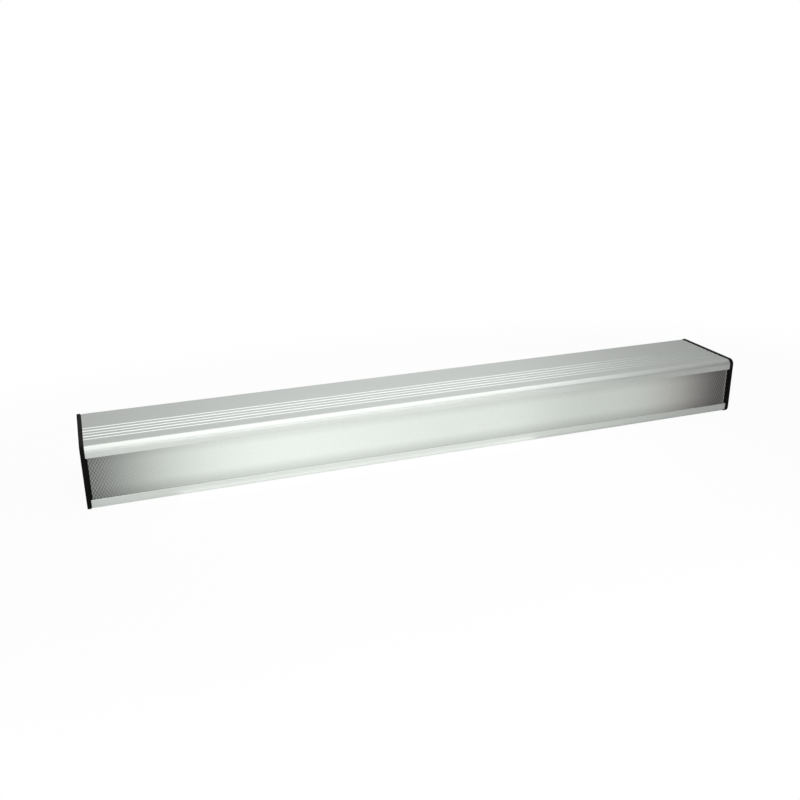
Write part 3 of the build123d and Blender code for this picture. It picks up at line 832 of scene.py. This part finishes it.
piece("housing_extrusion", housing_parts(), "housing_profile")
piece("cap_right", cap_parts(with_inlet=True), "end_cap_right")
piece("cap_left", mirrored(cap_parts(with_inlet=False)), "end_cap_left")
screws = cap_screw_parts()
piece("cap_screws_right", screws, "end_cap_screws_right")
piece("cap_screws_left", mirrored(screws), "end_cap_screws_left")
piece("prismatic_diffuser", sheet_parts(), "diffuser", crease=0)
piece("inlet_threaded_shell", inlet_parts(), "inlet_shell")
nut = nut_parts()
for row, z_row in (("upper", z_slot), ("lower", -z_slot)):
    for end, x_rest in (("left", -x_nut), ("right", x_nut)):
        spot = f"{row}_{end}"
        piece("threaded_nut_" + spot, shifted(nut, x_rest, z_row), "slot_nut_" + spot, body="nut_" + spot)


def studio_floor():
    """Pale floor under the light, with painted shade making it darker to the right. The camera sees it white
    far away, and near the light mostly white with a faint shadow. Reflections show its own shading and some
    of that white, most of it in a band close in front of the light, as a painted pool of the window's light."""
    graph = finish("studio_floor")
    x, y = graph.axes("XY")
    camera, mirror = graph.rays()
    shadow, near_white, painted_light_white, far_white = 0.04, 0.14, 0.47, 0.2
    # Painted light: reflections see extra white in a band just in front of the window, standing for the
    # window's light on the floor.
    painted_light_band = graph.step(y, -105.0, -82.0) * graph.step(x, -390.0, -200.0) * graph.fade(x, 30.0, 170.0)
    near = (1 - shadow) * camera + (near_white + painted_light_white * painted_light_band) * mirror
    far = camera + far_white * mirror
    reach_x, reach_y, y_middle = 700.0, 420.0, -40.0
    reach = ((x / reach_x) ** 2 + ((y - y_middle) / reach_y) ** 2) ** 0.5
    share = near + (far - near) * graph.step(reach, 0.55, 1.0)
    pale = graph.blend(graph.noise(700.0), grey(0.88), grey(0.9))
    # Painted shade: the floor's colour turns to a darker grey towards the right, where less light falls.
    tone = graph.blend(graph.step(x, 120.0, 340.0), pale, grey(0.6))
    paper = graph.add("BsdfDiffuse", None, {"Color": tone})
    white = graph.add("Emission", None, {"Color": WHITE, "Strength": 1.0})
    mixed = graph.add("MixShader", None, {0: share, 1: paper, 2: white})
    graph.add("OutputMaterial", None, {"Surface": mixed})
    graph.owner.cycles.emission_sampling = "NONE"
    half_side, gap = 4000.0, 0.05
    corners = rectangle(half_side, half_side)
    points = np.column_stack([corners, np.full(4, -z_top - cap_proud - gap)]) * MM
    mesh = bpy.data.meshes.new("floor")
    mesh.from_pydata(points.tolist(), [], [[0, 1, 2, 3]])
    mesh.materials.append(graph.owner)
    floor = bpy.data.objects.new("floor", mesh)
    bpy.context.collection.objects.link(floor)


def surroundings(level):
    """White background for the camera. Reflections and glass show it too, brightest behind the light and in a
    patch high to the right, dimmer to the sides and in front, and darkest in front to the right. Everything
    else gets an even light of that level."""
    world = bpy.data.worlds.new("studio")
    bpy.context.scene.world = world
    graph = Graph(world)
    camera, mirror = graph.rays()
    x, y, z = graph.split(graph.add("TexCoord", output="Generated"), "XYZ")
    side = x / (x * x + y * y) ** 0.5
    front_level, rear_level, white_level, patch_level = 0.36, 0.26, 0.45, 0.7
    white = graph.step(side, -0.28, 0.3) * graph.fade(side, 0.42, 0.62)
    patch = graph.step(z, 0.5, 0.7) * graph.step(x, 0.34, 0.5) * graph.fade(x, 0.52, 0.62)
    front = front_level * (1 - 0.95 * graph.step(side, 0.2, 0.7))
    rear = rear_level + white_level * white
    room = front + graph.step(y, -0.2, 0.3) * (rear - front) + patch_level * patch
    strength = camera + mirror * room + (1 - camera - mirror) * level
    light = graph.add("Background", None, {"Color": WHITE, "Strength": strength})
    graph.add("OutputWorld", None, {"Surface": light})


def softbox(name, place, aim, size, radiance):
    """Rectangular soft lamp at a place, facing a point, of that brightness: power is pi x area x radiance."""
    lamp = bpy.data.lights.new(name, "AREA")
    lamp.shape = "RECTANGLE"
    lamp.size, lamp.size_y = size
    lamp.energy = math.pi * size[0] * size[1] * radiance
    obj = bpy.data.objects.new(name, lamp)
    obj.location = place
    obj.rotation_euler = (Vector(aim) - Vector(place)).to_track_quat("-Z", "Y").to_euler()
    obj.visible_camera = False
    bpy.context.collection.objects.link(obj)


def photo_camera():
    """Camera of the photograph, from a fit to the light's corners and edges."""
    data = bpy.data.cameras.new("photo_camera")
    data.lens = 40.8814
    data.sensor_width = 36.0
    data.clip_start = 0.01
    data.clip_end = 50.0
    camera = bpy.data.objects.new("photo_camera", data)
    camera.location = (-0.2836154, -0.7537889, 0.2975001)
    camera.rotation_euler = [math.radians(angle) for angle in (69.6449, 0.4966, -19.8379)]
    bpy.context.collection.objects.link(camera)
    bpy.context.scene.camera = camera


# Places, aims and sizes of the lamps are in metres. The low front lamp lights the lips and stays below the
# grooved face, so that it doesn't show there. The last one is the light of the window on the floor.
studio_floor()
surroundings(level=0.08)
softbox("overhead", (-0.015, 0.0, 0.42), (-0.015, 0.0, 0.0), (0.75, 0.58), 1.23)
softbox("front_high", (0.04, -0.50, 0.374), (0.04, -0.077, 0.02), (0.94, 0.47), 1.22)
softbox("front_low", (-0.035, -0.42, -0.002), (-0.035, -0.077, -0.002), (0.57, 0.046), 3.6)
softbox("window_light", (-0.07, -0.0812, -0.0238), (-0.07, -0.0812, -0.1), (0.32, 0.006), 1.6)
photo_camera()
bpy.context.scene.view_settings.view_transform = "Standard"
